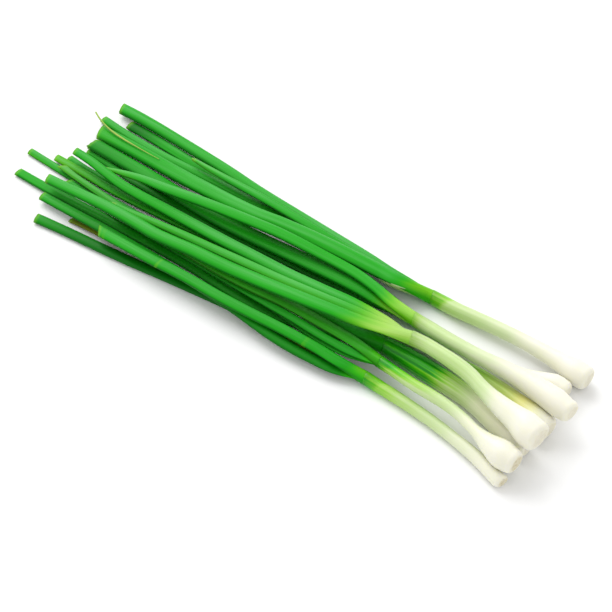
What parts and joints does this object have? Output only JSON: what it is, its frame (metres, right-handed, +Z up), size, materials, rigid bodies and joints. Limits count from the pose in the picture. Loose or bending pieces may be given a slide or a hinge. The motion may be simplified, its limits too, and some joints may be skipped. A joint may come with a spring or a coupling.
{
  "type": "spring onion bunch",
  "caption": "Loose bunch of trimmed spring onions lying on its side, with round white bulbs, pale shanks and long hollow green leaves, as food for a kitchen or market scene.",
  "frame": {"origin": "middle of the bunch's outline seen from above, on the surface it lies on", "axes": "+X along the bunch towards the bulbs, +Z up from the surface, +Y across the bunch"},
  "size_m": [0.3308, 0.0944, 0.0281],
  "materials": {
    "leaf": "fresh green leaf, waxy satin with a soft bloom and fine lengthwise veins",
    "shank_and_bulb": "moist fresh shank, pale green running to creamy white at the bulb, soft gloss",
    "dried_leaf": "dried yellow-green leaf strand, dull"
  },
  "bodies": {
    "root": {"stem_1": "shank_and_bulb", "stem_2": "shank_and_bulb", "stem_3": "shank_and_bulb", "stem_4": "shank_and_bulb", "stem_5": "shank_and_bulb", "stem_6": "shank_and_bulb", "stem_7": "shank_and_bulb", "stem_8": "shank_and_bulb", "leaf_1a": "leaf", "leaf_1b": "leaf", "leaf_1c": "leaf", "leaf_1d": "leaf", "leaf_2a": "leaf", "leaf_2b": "leaf", "leaf_3a": "leaf", "leaf_3b": "leaf", "leaf_4a": "leaf", "leaf_4b": "leaf", "leaf_4c": "leaf", "leaf_5a": "leaf", "leaf_5b": "leaf", "leaf_5c": "leaf", "leaf_6a": "leaf", "leaf_6b": "leaf", "leaf_6c": "leaf", "leaf_6d": "leaf", "leaf_7a": "leaf", "leaf_7b": "leaf", "leaf_8a": "leaf", "leaf_8b": "leaf", "dry_strand": "dried_leaf"}
  },
  "joints": []
}
